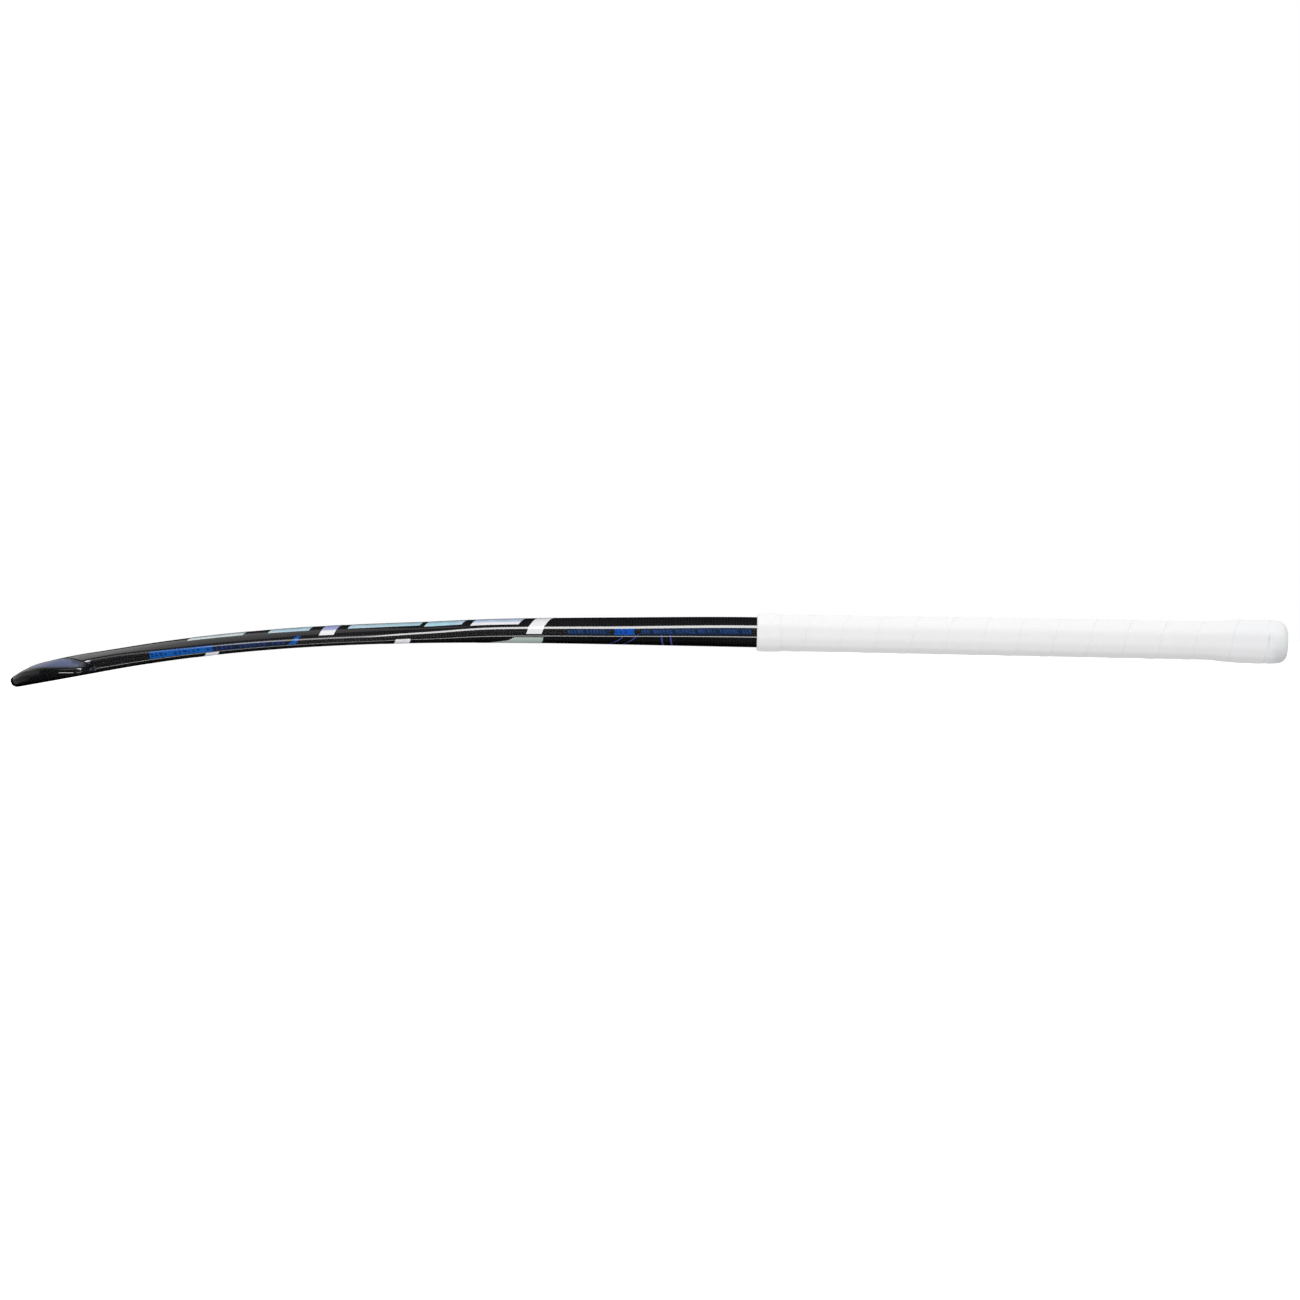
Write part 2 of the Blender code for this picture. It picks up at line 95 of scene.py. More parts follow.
# How far each rounded edge reaches along the section, in girth: (edge, start, end, points on it)
ROUND_EDGES = ((1, 0.90, 1.30, 9), (2, 1.80, 2.25, 7), (3, 2.75, 3.25, 4), (4, 3.75, 4.06, 6))
WEAVE_SEAM = 2.5  # girth where the plies of the back meet those of the face
DOME_COUNT = 17  # points of the section from the crown to the rounded upper edge
FLAT_STEP = 0.16  # most girth between points on the flats of the side
FACE_COUNT = 7  # points across half of the playing face
FACE_EDGE, FACE_MIDDLE = 4, 5  # girths


# ---------------- the surface of the stick

def smooth_step(t):
    t = np.clip(t, 0.0, 1.0)
    return t * t * (3 - 2 * t)


def through(table, x):
    """Values at x of a smooth curve, with no overshoot, through a table of (x, value)."""
    xs, ys = np.array(table, float).T
    secants = np.diff(ys) / np.diff(xs)
    slopes = np.zeros(len(xs))
    same_way = secants[:-1] * secants[1:] > 0
    slopes[1:-1][same_way] = 2 / (1 / secants[:-1][same_way] + 1 / secants[1:][same_way])
    x = np.clip(x, xs[0], xs[-1])
    i = np.clip(np.searchsorted(xs, x, side="right") - 1, 0, len(xs) - 2)
    width = xs[i + 1] - xs[i]
    t = (x - xs[i]) / width
    return ((1 + 2 * t) * (1 - t) ** 2 * ys[i] + t * t * (3 - 2 * t) * ys[i + 1]
            + width * (t * (1 - t) ** 2 * slopes[i] - t * t * (1 - t) * slopes[i + 1]))


def face_line(x):
    """Height and slope of the playing face at x."""
    span = BOW_END - BOW_START
    turn = HEAD_SLOPE - HANDLE_SLOPE
    left = 1 - np.clip((x - BOW_START) / span, 0.0, 1.0)
    height = HEAD_SLOPE * np.minimum(x, BOW_START) + HANDLE_SLOPE * np.maximum(0.0, x - BOW_START)
    return height + turn * span / 3 * (1 - left**3), HANDLE_SLOPE + turn * left**2


def lay(x, y, height):
    """Points at a height above the playing face, square to it."""
    z, slope = face_line(x)
    square = np.hypot(1, slope)
    return np.stack([x - height * slope / square, y, z + height / square], axis=-1)


def outline(station, depth):
    """The two ends of each section, seen from above: (heel's and outer side), (toe's and crook side)."""
    middle = SHAFT_HALF_WIDTH - HEEL_TO_TOE / 2
    crook_y = -SHAFT_HALF_WIDTH - CROOK_RADIUS
    corner = TIP_X - CROOK_X
    corner_y = crook_y - CROOK_RADIUS - corner
    outer_radius = HEEL_TO_TOE - SHAFT_HALF_WIDTH + corner_y - TIP_FLAT

    half = through(HALF_WIDTH, station) - depth
    lead = (CROOK_X - BEND_START) * smooth_step((LEAD_START - station) / (LEAD_START - BEND_START))
    shaft_out = np.stack([station, half], axis=-1)
    shaft_in = np.stack([station + lead, -half], axis=-1)

    angle = np.pi * (0.5 + (BEND_START - station) / BEND_START)
    along, across = np.cos(angle), np.sin(angle)
    bend_out = np.stack([BEND_START + (BEND_START - depth) * along,
                         middle + (HEEL_TO_TOE / 2 - depth) * across], axis=-1)
    bend_in = np.stack([CROOK_X + (CROOK_RADIUS + depth) * along,
                        crook_y + (CROOK_RADIUS + depth) * across], axis=-1)

    angle = -station / BEND_START * np.pi / 2
    along, across = np.sin(angle), np.cos(angle)
    tip_out = np.stack([BEND_START + (TIP_X - BEND_START - depth) * along,
                        corner_y - TIP_FLAT - (outer_radius - depth) * across], axis=-1)
    tip_in = np.stack([CROOK_X + (corner - depth) * along, corner_y + (corner - depth) * across], axis=-1)

    on_shaft = (station >= BEND_START)[..., None]
    on_bend = (station >= 0)[..., None]
    return (np.where(on_shaft, shaft_out, np.where(on_bend, bend_out, tip_out)),
            np.where(on_shaft, shaft_in, np.where(on_bend, bend_in, tip_in)))


def curve_between(start, control, end, t):
    return (1 - t) ** 2 * start + 2 * t * (1 - t) * control + t * t * end


def section(half, top, upper, lower, margin, power, depth):
    """(girths, distances from the middle, heights) of half sections with rounded edges, one row for each."""
    top = top - depth
    upper = np.minimum(upper - EDGE_SHIFT * depth, top - DOME_LEAST)
    lower = np.minimum(lower + EDGE_SHIFT * depth, upper - WALL_LEAST)
    margin = np.minimum(margin, MARGIN_MOST * half)
    lean = np.minimum(WALL_LEAN, LEAN_MOST * half)
    crown = half - lean

    def dome(g):
        return np.stack([crown * g, upper + (top - upper) * (1 - g**power)], axis=-1)

    corners = [
        np.stack([crown, upper], axis=-1),
        np.stack([half, lower], axis=-1),
        np.stack([half - BEVEL_IN * margin, depth + (lower - depth) * BEVEL_UP], axis=-1),
        np.stack([half - margin, depth + 0 * half], axis=-1),
        np.stack([0 * half, depth + 0 * half], axis=-1),
    ]

    def on_flat(g):
        k = min(int(g), FACE_EDGE)
        return corners[k - 1] + (corners[k] - corners[k - 1]) * (g - k)

    girths = list(np.linspace(0.0, ROUND_EDGES[0][1], DOME_COUNT)[:-1])
    places = [dome(g) for g in girths]
    next_starts = (*(edge[1] for edge in ROUND_EDGES[1:]), FACE_MIDDLE)
    for (edge, start, end, count), after in zip(ROUND_EDGES, next_starts):
        if edge == 1:
            first = dome(start)
            fall = -(top - upper) * power * start ** (power - 1)
            run = crown
            wall = corners[1] - corners[0]
            offset = first - corners[0]
            # where the dome's tangent at the start of the edge meets the wall
            cross = run * wall[..., 1] - fall * wall[..., 0]
            reach = (offset[..., 1] * wall[..., 0] - offset[..., 0] * wall[..., 1]) / cross
            control = first + np.stack([run * reach, fall * reach], axis=-1)
        else:
            first, control = on_flat(start), corners[edge - 1]
        last = on_flat(end)
        for t in np.linspace(0, 1, count):
            girths.append(start + (end - start) * t)
            places.append(curve_between(first, control, last, t))
        inner = max(2, round((after - end) / FLAT_STEP) + 1) if edge < FACE_EDGE else FACE_COUNT
        for g in np.linspace(end, after, inner)[1:-1]:
            girths.append(g)
            places.append(on_flat(g))
    girths.append(float(FACE_MIDDLE))
    places.append(corners[-1])
    places = np.stack(places, axis=-2)
    return np.array(girths), places[..., 0], places[..., 1]


ANY_SECTION = (20.0, 15.0, 8.0, 3.0, 3.0, 2.0, 0.0)  # the girths are the same for every section
SECTION_GIRTHS = section(*(np.array([value]) for value in ANY_SECTION))[0]


def surface(station, girth, height):
    """Points at a height above the surface, and their places on the back's and the face's ply laid flat."""
    station, girth, height = (np.array(a, float) for a in np.broadcast_arrays(station, girth, height))
    girth = np.where(girth > FACE_MIDDLE, girth - 2 * FACE_MIDDLE, girth)
    on_toe_side = girth >= 0
    outside, inside = outline(station, -height)
    middle = (outside + inside) / 2
    half = np.linalg.norm(outside - inside, axis=-1) / 2
    side = (np.where(on_toe_side[..., None], inside, outside) - middle) / half[..., None]
    crook, outer = through(UPPER_EDGE_CROOK, station), through(UPPER_EDGE_OUTSIDE, station)
    round_head = np.where(on_toe_side, crook, outer)
    upper = np.where(station >= BEND_START, through(UPPER_EDGE, station), round_head)
    tables = (HEIGHT, LOWER_EDGE, FACE_MARGIN, DOME_POWER)
    top, lower, margin, power = (through(table, station) for table in tables)
    girths, across, up = section(half, top, upper, lower, margin, power, -height)
    steps = np.hypot(np.diff(across, axis=-1), np.diff(up, axis=-1))
    arc = np.concatenate([np.zeros((*half.shape, 1)), np.cumsum(steps, axis=-1)], axis=-1)
    g = np.abs(girth)
    k = np.clip(np.searchsorted(girths, g, side="right") - 1, 0, len(girths) - 2)
    t = (g - girths[k]) / (girths[k + 1] - girths[k])

    def pick(rows):
        low = np.take_along_axis(rows, k[..., None], axis=-1)[..., 0]
        high = np.take_along_axis(rows, k[..., None] + 1, axis=-1)[..., 0]
        return low + (high - low) * t

    plan = middle + side * pick(across)[..., None]
    from_crown, from_face = pick(arc), arc[..., -1] - pick(arc)
    unrolled_back = middle + side * from_crown[..., None]
    unrolled_face = middle + side * from_face[..., None]
    return lay(plan[..., 0], plan[..., 1], pick(up)), unrolled_back, unrolled_face


def frame_offset():
    """Place of the design's origin in the frame, in metres, from the cap's box and the face's mount."""
    cap_low, cap_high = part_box("butt_cap")
    disc = surface(BUTT_END, [0, FACE_MIDDLE], -BUTT_DISC_DEPTH)[0][:, 0].max()
    x = cap_high[0] - disc * MM
    y = (cap_low[1] + cap_high[1]) / 2
    face = next(m for m in frame["record"]["mounts"] if m["name"] == "playing_face")["pos_m"]
    z = face[2] - HEAD_SLOPE * (face[0] - x)
    return np.array([x, y, z])


ORIGIN = frame_offset()


def placed(points):
    return np.asarray(points) * MM + ORIGIN


# ---------------- meshes

def grid_faces(rows, columns, closed):
    """Quads over a grid of rows by columns; closed joins the last column to the first."""
    across = columns if closed else columns - 1
    r, c = np.meshgrid(np.arange(rows - 1), np.arange(across), indexing="ij")
    d = (c + 1) % columns
    return np.stack([r * columns + c, r * columns + d, (r + 1) * columns + d, (r + 1) * columns + c],
                    axis=-1).reshape(-1, 4)


def linked(name, data):
    """A new object in the scene, for a mesh, a light or a camera."""
    made = bpy.data.objects.new(name, data)
    bpy.context.scene.collection.objects.link(made)
    return made


def new_piece(name, points, faces, material, replaces, corner_data, smooth_angle=40):
    """A piece from arrays, turned to face out. corner_data is {attribute name: (faces x 4 x 3) array}."""
    volume = np.linalg.det(points[faces[:, :3]]).sum() + np.linalg.det(points[faces[:, [0, 2, 3]]]).sum()
    if volume < 0:
        faces = faces[:, ::-1]
        corner_data = {key: values[:, ::-1] for key, values in corner_data.items()}
    mesh = bpy.data.meshes.new(name)
    mesh.from_pydata(points.tolist(), [], faces.tolist())
    for attribute, values in corner_data.items():
        layer = mesh.attributes.new(attribute, "FLOAT_VECTOR", "CORNER")
        layer.data.foreach_set("vector", np.ascontiguousarray(values, np.float32).ravel())
    mesh.shade_smooth()
    mesh.set_sharp_from_angle(angle=math.radians(smooth_angle))
    mesh.materials.append(material)
    piece = linked(name, mesh)
    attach(piece, "root")
    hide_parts(*replaces)
    return piece


def folded_ends(rows, across):
    """Faces that close the two ends of a grid whose rows go out and come back."""
    k = np.arange(across // 2 - 1)
    first = np.stack([k, across - 1 - k, across - 2 - k, k + 1], axis=-1)
    return first, first[:, ::-1] + (rows - 1) * across


def capped(points, faces, rows, columns, data):
    """Closes each end of a closed grid with a fan of quads that carries on the data of the end's corners.

    data is {name: (values at the corners of faces, values at points)}."""
    k = np.arange(0, columns, 2)
    for row in (0, rows - 1):
        ring = np.arange(columns) + row * columns
        centre = np.full(len(k), len(points))
        points = np.vstack([points, points[ring].mean(axis=0)])
        fan = np.stack([centre, ring[k], ring[(k + 1) % columns], ring[(k + 2) % columns]], axis=-1)
        faces = np.vstack([faces, fan])
        data = {key: (np.concatenate([corners, np.repeat(at[ring[k], None], 4, axis=1)]), at)
                for key, (corners, at) in data.items()}
    return points, faces, {key: corners for key, (corners, _) in data.items()}


# ---------------- materials

class Paint:
    """A material made of procedural nodes that end in one Principled shader."""

    def __init__(self, name, **settings):
        self.material = bpy.data.materials.new(name)
        self.material.use_nodes = True
        self.tree = self.material.node_tree
        self.shader = self.tree.nodes["Principled BSDF"]
        self.sockets = {socket.name.lower(): socket for socket in self.shader.inputs}
        for key, value in settings.items():
            self.set(key.replace("_", " "), value)
        # place in the object's own frame, in millimetres
        own = self.node("TexCoord").outputs["Object"]
        self.place = self.node("VectorMath", {0: own, "Scale": 1 / MM}, operation="SCALE").outputs[0]

    def set(self, socket, value):
        self.plug(self.sockets[socket.lower()], value)

    def plug(self, socket, value):
        if isinstance(value, bpy.types.NodeSocket):
            self.tree.links.new(value, socket)
        elif isinstance(value, tuple) and len(value) == 3 and socket.type == "RGBA":
            socket.default_value = (*value, 1.0)
        else:
            socket.default_value = value

    def node(self, kind, values=(), **settings):
        made = self.tree.nodes.new("ShaderNode" + kind)
        for key, value in settings.items():
            setattr(made, key, value)
        for key, value in dict(values).items():
            self.plug(made.inputs[key], value)
        return made

    def maths(self, operation, *values):
        return self.node("Math", enumerate(values), operation=operation).outputs[0]

    def vector(self, x, y, z=0.0):
        return self.node("CombineXYZ", {"X": x, "Y": y, "Z": z}).outputs[0]

    def split(self, vector):
        return tuple(self.node("SeparateXYZ", {0: vector}).outputs)

    def attribute(self, name):
        return self.split(self.node("Attribute", attribute_name=name).outputs["Vector"])

    def noise(self, scale, detail=2.0, roughness=0.5, place=None):
        inputs = {"Vector": place or self.place, "Scale": scale, "Detail": detail, "Roughness": roughness}
        return self.node("TexNoise", inputs).outputs["Fac"]

    def streaks(self, x, y, x_scale, y_scale, detail):
        """Noise drawn out along one of two coordinates."""
        place = self.vector(self.maths("MULTIPLY", x, x_scale), self.maths("MULTIPLY", y, y_scale))
        return self.noise(1.0, detail, place=place)

    def cells(self, width, feature="F1"):
        """Distance from the middle of the cell, for cells of a width in millimetres."""
        inputs = {"Vector": self.place, "Scale": 1 / width}
        return self.node("TexVoronoi", inputs, feature=feature).outputs["Distance"]

    def ramp(self, value, *stops):
        made = self.node("ValToRGB", {"Fac": value})
        elements = made.color_ramp.elements
        while len(elements) < len(stops):
            elements.new(0.5)
        for element, (place, colour) in zip(elements, stops):
            element.position = place
            element.color = (*colour, 1.0) if isinstance(colour, tuple) else (colour, colour, colour, 1.0)
        return made.outputs["Color"]

    def scaled(self, value, low, high, to_low=0.0, to_high=1.0):
        names = ("Value", "From Min", "From Max", "To Min", "To Max")
        return self.node("MapRange", dict(zip(names, (value, low, high, to_low, to_high)))).outputs["Result"]

    def mix(self, factor, first, second, blend="MIX"):
        """Mixes two colours."""
        made = self.node("Mix", {0: factor, 6: first, 7: second}, data_type="RGBA", blend_type=blend)
        return made.outputs[2]

    def blend(self, factor, first, second):
        """Mixes two values."""
        return self.node("Mix", {0: factor, 2: first, 3: second}, data_type="FLOAT").outputs[0]

    def finish(self, colour, roughness):
        self.set("Base Color", colour)
        self.set("Roughness", roughness)

    def bump(self, height, distance, strength=1.0, socket="Normal"):
        """Bump whose height, from 0 to 1, stands for a distance in millimetres."""
        made = self.node("Bump", {"Height": height, "Distance": distance * MM, "Strength": strength})
        self.set(socket, made.outputs["Normal"])

    def from_middle(self, share):
        """Distance from the middle of a strip, 1 at its edges, from a share of its width."""
        return self.maths("ABSOLUTE", self.scaled(share, 0.0, 1.0, -1.0, 1.0))

    def drifting(self, scale, low, high, detail=2.0):
        """A value that drifts between low and high from place to place."""
        return self.scaled(self.noise(scale, detail), 0.3, 0.7, low, high)

    def shaded(self, colour, shade):
        return self.mix(1.0, colour, self.vector(shade, shade, shade), "MULTIPLY")

    def tint(self, colour, scale, amount):
        """The colour, a little lighter and darker from place to place."""
        return self.shaded(colour, self.drifting(scale, 1 - amount, 1 + amount, 3.0))


PLAIN, TWILL = 2, 4  # weaves, as the tows after which they repeat
FIBRES_ALONG, FIBRES_ACROSS = 0.6, 9.0  # streaks to a tow's width, along the fibres and across them
TOW = 1.55  # width of one tow of the carbon cloth
CARBON_WARP, CARBON_WEFT = (0.0065, 0.0065, 0.0075), (0.0105, 0.011, 0.0125)
FILM_LACQUER = {"coat_weight": 1.0, "coat_roughness": 0.04}


def cloth(paint, u, v, tow, repeat):
    """Woven cloth at 45 degrees: (1 where the warp is on top, height of the cloth, fibre streaks)."""
    x = paint.maths("DIVIDE", paint.maths("ADD", u, v), tow * math.sqrt(2))
    y = paint.maths("DIVIDE", paint.maths("SUBTRACT", u, v), tow * math.sqrt(2))
    step = paint.maths("ADD", paint.maths("FLOOR", x), paint.maths("FLOOR", y))
    over = paint.maths("LESS_THAN", paint.maths("FLOORED_MODULO", step, repeat), repeat / 2 - 0.5)

    def bulge(t):
        centred = paint.maths("MULTIPLY_ADD", paint.maths("FRACT", t), 2.0, -1.0)
        return paint.maths("SUBTRACT", 1.0, paint.maths("MULTIPLY", centred, centred))

    warp_streaks = paint.streaks(x, y, FIBRES_ALONG, FIBRES_ACROSS, 3.0)
    weft_streaks = paint.streaks(x, y, FIBRES_ACROSS, FIBRES_ALONG, 3.0)
    return over, paint.blend(over, bulge(y), bulge(x)), paint.blend(over, warp_streaks, weft_streaks)


# Thin blue lines drawn on the toe side's lower bevel: (station at the bevel's top, shift to its bottom)
LINES = ((446.0, -13.0), (455.0, -12.0), (471.5, 1.5), (478.0, 1.5))
LINE_WIDTH, LINE_TOP, LINE_BOTTOM = 1.1, 1.8, 4.0  # width along the stick, and the girths of their ends
LINE_BLUE = (0.055, 0.075, 0.30)


def lacquered(paint):
    """The paint's material, with the slow ripple of the lacquer that runs over laminate and prints alike."""
    paint.bump(paint.noise(0.18, 2.0), 0.02, 0.35, "Coat Normal")
    return paint.material


def carbon_material():
    """Black cloth in clear resin, lacquered, with a few thin printed lines near the handle."""
    paint = Paint("lacquered_carbon", specular_ior_level=0.12, coat_weight=1.0, coat_roughness=0.03,
                  coat_ior=1.5)
    u, v, _ = paint.attribute("weave")
    station, girth, _ = paint.attribute("print")
    over, height, streaks = cloth(paint, u, v, TOW, PLAIN)
    shade = paint.scaled(streaks, 0.3, 0.7, 0.7, 1.35)
    colour = paint.shaded(paint.mix(over, CARBON_WEFT, CARBON_WARP), shade)
    resin = paint.scaled(paint.noise(0.035, 3.0), 0.35, 0.65, 0.85, 1.2)
    colour = paint.shaded(colour, resin)
    for start, shift in LINES:
        slope = shift / (LINE_BOTTOM - LINE_TOP)
        middle = paint.maths("MULTIPLY_ADD", girth, slope, start - LINE_TOP * slope)
        off = paint.maths("ABSOLUTE", paint.maths("SUBTRACT", station, middle))
        line = paint.maths("LESS_THAN", off, LINE_WIDTH / 2)
        for limit, inside in ((LINE_TOP, "GREATER_THAN"), (LINE_BOTTOM, "LESS_THAN")):
            line = paint.maths("MULTIPLY", line, paint.maths(inside, girth, limit))
        colour = paint.mix(line, colour, LINE_BLUE)
    paint.finish(colour, paint.blend(over, 0.34, 0.26))
    paint.bump(height, 0.05, 0.6)
    return lacquered(paint)


def foil_material():
    """Iridescent foil: silver green, then sky blue, then lavender with a white edge up the shaft."""
    paint = Paint("iridescent_foil", specular_ior_level=0.15, coat_ior=1.3, thin_film_thickness=330.0,
                  thin_film_ior=1.45, **FILM_LACQUER)
    station, across, _ = paint.attribute("print")
    by_length = paint.ramp(paint.scaled(station, 120.0, 380.0),
                           (0.0, (0.78, 0.86, 0.86)), (0.16, (0.74, 0.83, 0.85)), (0.30, (0.54, 0.76, 0.92)),
                           (0.55, (0.52, 0.73, 0.86)), (0.74, (0.42, 0.74, 0.90)), (0.86, (0.60, 0.72, 0.95)),
                           (1.0, (0.60, 0.76, 0.92)))
    colour = paint.mix(paint.scaled(across, 0.45, 1.0, 0.0, 0.8), by_length, (0.50, 0.52, 0.90))
    near_edge, up_the_shaft = paint.scaled(across, 0.22, 0.30, 1.0, 0.0), paint.scaled(station, 325.0, 335.0)
    colour = paint.mix(paint.maths("MULTIPLY", near_edge, up_the_shaft), colour, (0.97, 0.92, 0.99))
    brushed = paint.streaks(station, across, 0.15, 90.0, 4.0)
    colour = paint.mix(paint.scaled(brushed, 0.35, 0.65, 0.0, 0.25), colour, (0.86, 0.92, 0.96))
    paint.finish(paint.tint(colour, 0.12, 0.08), paint.scaled(brushed, 0.3, 0.7, 0.20, 0.34))
    paint.bump(brushed, 0.01, 0.4)
    return lacquered(paint)


def white_film_material(name, ground, crest, crest_start):
    """Print with a faint grain. The crest's colour takes over past a share of the film's width."""
    paint = Paint(name, specular_ior_level=0.1, **FILM_LACQUER)
    _, across, _ = paint.attribute("print")
    colour = paint.mix(paint.scaled(across, crest_start, crest_start + 0.03), ground, crest)
    paint.finish(paint.tint(colour, 0.9, 0.04), paint.drifting(2.5, 0.22, 0.34))
    paint.bump(paint.noise(4.0), 0.01, 0.3)
    return lacquered(paint)


DASH_SLANT = 1.6  # millimetres over the strip's width
DASH_SHARES = (0.35, 0.85)  # of their pitch that the shortest and longest dashes fill
DASH_GROUP, DASH_GAP = 7.0, 5.5  # dashes to a group, and where the gap at its end starts
DASH_CUT = 0.045  # half width of the cut through a dash, as a share of the strip's width


def marks(paint, along, across, pitch, low, high):
    """1 on slanted dashes of uneven length, in groups; low and high are the row's ends across the strip."""
    slanted = paint.maths("DIVIDE", paint.maths("MULTIPLY_ADD", across, DASH_SLANT, along), pitch)
    cell = paint.maths("FLOOR", slanted)
    chance = paint.node("TexWhiteNoise", {"W": cell}, noise_dimensions="1D").outputs["Value"]
    length = paint.scaled(chance, 0.0, 1.0, *DASH_SHARES)
    dash = paint.maths("LESS_THAN", paint.maths("FRACT", slanted), length)
    in_group = paint.maths("LESS_THAN", paint.maths("FLOORED_MODULO", cell, DASH_GROUP), DASH_GAP)
    other_chance = paint.maths("FRACT", paint.maths("MULTIPLY", chance, 7.0))
    cut_at = paint.maths("MULTIPLY_ADD", other_chance, 0.3, low + 0.05)
    from_cut = paint.maths("ABSOLUTE", paint.maths("SUBTRACT", across, cut_at))
    for limit in (in_group, paint.maths("GREATER_THAN", from_cut, DASH_CUT),
                  paint.maths("GREATER_THAN", across, low), paint.maths("LESS_THAN", across, high)):
        dash = paint.maths("MULTIPLY", dash, limit)
    return dash


RULE_START = 0.80  # where the rule along each edge of a strip starts, as a share of the half width


def print_material(name, ground, ink, pitch, low=0.28, high=0.74, rule=None):
    """A printed strip: a ground colour with a row of dashes, and a thin rule along its edges."""
    paint = Paint(name, specular_ior_level=0.1, **FILM_LACQUER)
    along, across, _ = paint.attribute("print")
    colour = paint.mix(marks(paint, along, across, pitch, low, high), ground, ink)
    if rule:
        near_edge = paint.maths("GREATER_THAN", paint.from_middle(across), RULE_START)
        colour = paint.mix(near_edge, colour, rule)
    paint.finish(paint.tint(colour, 0.25, 0.10), paint.drifting(2.5, 0.20, 0.36))
    paint.bump(paint.noise(4.0), 0.01, 0.3)
    return lacquered(paint)


def toe_film_material():
    """Blue-violet print that greys and fades into black towards the end of the toe, with a coarse grain."""
    paint = Paint("toe_print", specular_ior_level=0.1, coat_weight=0.6, coat_roughness=0.12)
    _, across, along = paint.attribute("print")
    colour = paint.ramp(across, (0.0, (0.105, 0.115, 0.190)), (0.3, (0.085, 0.110, 0.230)),
                        (0.7, (0.075, 0.100, 0.220)), (1.0, (0.045, 0.055, 0.095)))
    colour = paint.mix(paint.scaled(along, 0.38, 0.55), colour, (0.105, 0.105, 0.125))
    grain = paint.scaled(paint.noise(0.9, 5.0, 0.7), 0.35, 0.65, 0.7, 1.3)
    colour = paint.shaded(colour, grain)
    fade = paint.ramp(along, (0.0, 1.0), (0.07, 0.0), (0.58, 0.0), (0.85, 1.0))
    paint.finish(paint.mix(fade, colour, (0.012, 0.012, 0.014)), paint.drifting(2.5, 0.25, 0.40))
    paint.bump(paint.noise(1.8, 4.0), 0.02, 0.3)
    return lacquered(paint)


def grip_material():
    """Soft white polyurethane: a fine leathery grain, a cool tint towards the butt, and dust with painted
    shade darkening the seams.
    """
    paint = Paint("white_grip_polyurethane", specular_ior_level=0.04, sheen_weight=0.03, sheen_roughness=0.5)
    _, across, _ = paint.attribute("wrap")
    x, _, _ = paint.split(paint.place)
    colour = paint.ramp(paint.scaled(x, 90.0, 450.0), (0.0, (0.905, 0.905, 0.905)),
                        (0.75, (0.885, 0.885, 0.887)), (1.0, (0.865, 0.868, 0.880)))
    # painted shade: the seams are darkened a little in patches, for dust and for the shade that falls in them
    seam = paint.scaled(paint.from_middle(across), 0.90, 1.0)
    dust_and_painted_shade = paint.scaled(paint.noise(0.08, 3.0), 0.35, 0.70, 0.0, 0.06)
    colour = paint.mix(paint.maths("MULTIPLY", seam, dust_and_painted_shade), colour, (0.60, 0.60, 0.62))
    wear = paint.scaled(paint.noise(0.03, 4.0), 0.55, 0.75, 0.0, 0.10)
    colour = paint.mix(wear, colour, (0.78, 0.77, 0.74))
    paint.finish(paint.tint(colour, 0.35, 0.012), paint.drifting(0.2, 0.62, 0.78, 3.0))
    pores = paint.cells(0.625, "SMOOTH_F1")
    fine = paint.noise(3.2, 3.0)
    paint.bump(paint.maths("MULTIPLY_ADD", pores, 0.7, fine), 0.05, 0.5)
    return paint.material


TAPE_RIBS = 22


def tape_material():
    """White stretch tape: fine ribs along the pull and a satin face."""
    paint = Paint("white_finishing_tape", specular_ior_level=0.06)
    _, across, _ = paint.attribute("wrap")
    ribs = paint.maths("SINE", paint.maths("MULTIPLY", across, 2 * math.pi * TAPE_RIBS))
    colour = paint.tint((0.905, 0.905, 0.905), 0.3, 0.02)
    edge = paint.scaled(paint.from_middle(across), 0.92, 1.0, 0.0, 0.08)
    paint.finish(paint.mix(edge, colour, (0.62, 0.62, 0.64)), paint.drifting(0.6, 0.58, 0.75))
    paint.bump(paint.maths("MULTIPLY_ADD", ribs, 0.25, paint.noise(1.2, 3.0)), 0.05, 0.5)
    return paint.material


def cap_material():
    """Moulded white rubber, greyer towards its end, with painted shade that darkens its underside, and with
    specks.
    """
    paint = Paint("white_cap_rubber", specular_ior_level=0.08)
    x, _, z = paint.split(paint.place)
    colour = paint.ramp(paint.scaled(x, 449.0, 464.2), (0.0, (0.865, 0.87, 0.885)),
                        (0.75, (0.83, 0.84, 0.855)), (1.0, (0.74, 0.77, 0.785)))
    # painted shade: the colour darkens towards the bottom, more so towards the end of the cap
    under = paint.blend(paint.scaled(x, 449.5, 456.0), 1.0, paint.scaled(z, 17.0, 6.0, 1.0, 0.84))
    colour = paint.shaded(colour, under)
    cream = paint.scaled(paint.noise(0.09, 2.0), 0.52, 0.68, 0.0, 0.20)
    colour = paint.mix(cream, colour, (0.84, 0.82, 0.75))
    specks = paint.scaled(paint.noise(1.6, 4.0, 0.7), 0.66, 0.74, 0.0, 0.35)
    paint.finish(paint.mix(specks, colour, (0.45, 0.45, 0.46)), paint.drifting(0.5, 0.60, 0.78, 3.0))
    paint.bump(paint.noise(2.2, 4.0), 0.06, 0.5)
    return paint.material


def woven_material(name, warp, weft, tow, roughness):
    """Twill in clear resin, for a layer inside, seen from above."""
    paint = Paint(name, specular_ior_level=0.4)
    x, y, _ = paint.split(paint.place)
    over, height, streaks = cloth(paint, x, y, tow, TWILL)
    shade = paint.scaled(streaks, 0.3, 0.7, 0.7, 1.3)
    paint.finish(paint.shaded(paint.mix(over, weft, warp), shade),
                 paint.blend(over, roughness, roughness - 0.12))
    paint.bump(height, 0.15, 0.7)
    return paint.material


